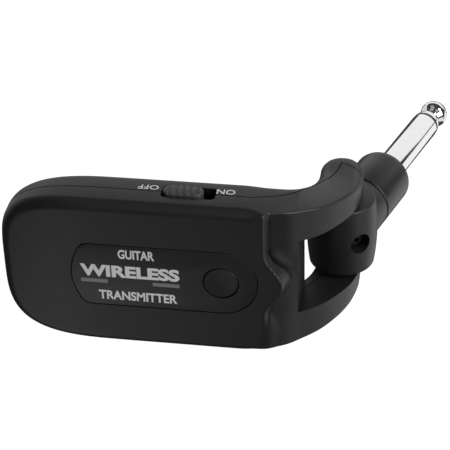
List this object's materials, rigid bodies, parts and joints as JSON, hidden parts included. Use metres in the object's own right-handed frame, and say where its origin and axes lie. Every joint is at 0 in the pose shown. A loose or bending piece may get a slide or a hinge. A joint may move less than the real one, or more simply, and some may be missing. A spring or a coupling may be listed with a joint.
{
  "type": "wireless guitar transmitter",
  "caption": "Battery-powered instrument transmitter: a flat rounded housing with a slide switch and a push button, forked round a swivel that carries a quarter-inch jack plug.",
  "frame": {"origin": "centre of the collar's flat end, where the plug seats against a socket plate", "axes": "+X along the housing toward its fork, +Y from the front face to the back, +Z along the hinge axis; the plug points along (0.314, 0.949, 0)"},
  "size_m": [0.0889, 0.0762, 0.036],
  "materials": {
    "black_plastic": "fine matte texture",
    "collar_plastic": "satin",
    "badge_plastic": "satin",
    "button_plastic": "satin",
    "knob_plastic": "satin",
    "nickel_plate": "polished",
    "steel": "plain",
    "insulator_ring": "smooth",
    "friction_washer": "smooth",
    "circuit_board": "solder mask",
    "ceramic": "plain",
    "battery_pouch": "foil",
    "foam": "open cell",
    "red_wire": "smooth",
    "black_wire": "smooth",
    "clear_plastic": "frosted"
  },
  "bodies": {
    "plug": {"plug_sleeve": "nickel_plate", "plug_insulator": "insulator_ring", "plug_tip": "nickel_plate", "plug_collar": "collar_plastic", "swivel_block": "black_plastic", "set_screw": "steel", "hinge_pin": "steel", "upper_washer": "friction_washer", "lower_washer": "friction_washer", "lead_in_swivel": "black_wire", "solder_lug": "steel"},
    "housing": {"front_shell": "black_plastic", "back_shell": "black_plastic", "badge_plate": "badge_plastic", "lead_in_housing": "black_wire", "battery_lead_black": "black_wire", "battery_lead_red": "red_wire", "circuit_board": "circuit_board", "tact_switch": "steel", "chip_antenna": "ceramic", "radio_shield": "steel", "status_led": "clear_plastic", "light_pipe": "clear_plastic", "charging_port": "steel", "switch_frame": "steel", "battery_cell": "battery_pouch", "battery_pad": "foam", "shell_screw_1": "steel", "shell_screw_2": "steel", "shell_screw_3": "steel", "shell_screw_4": "steel"},
    "switch_slider": {"switch_knob": "knob_plastic", "switch_lever": "steel"},
    "button": {"function_button": "button_plastic"}
  },
  "joints": [
    {"name": "plug_fold", "type": "hinge", "parent": "plug", "child": "housing", "pos_m": [-0.00747, -0.0226, 0], "axis": [0, 0, 1], "range_deg": [-96, 160]},
    {"name": "power_switch", "type": "slide", "parent": "housing", "child": "switch_slider", "axis": [1, 0, 0], "range_m": [0, 0.0022]},
    {"name": "button_press", "type": "slide", "parent": "housing", "child": "button", "axis": [0, 1, 0], "range_m": [0, 0.0004], "stiffness_N_per_m": 2000}
  ]
}
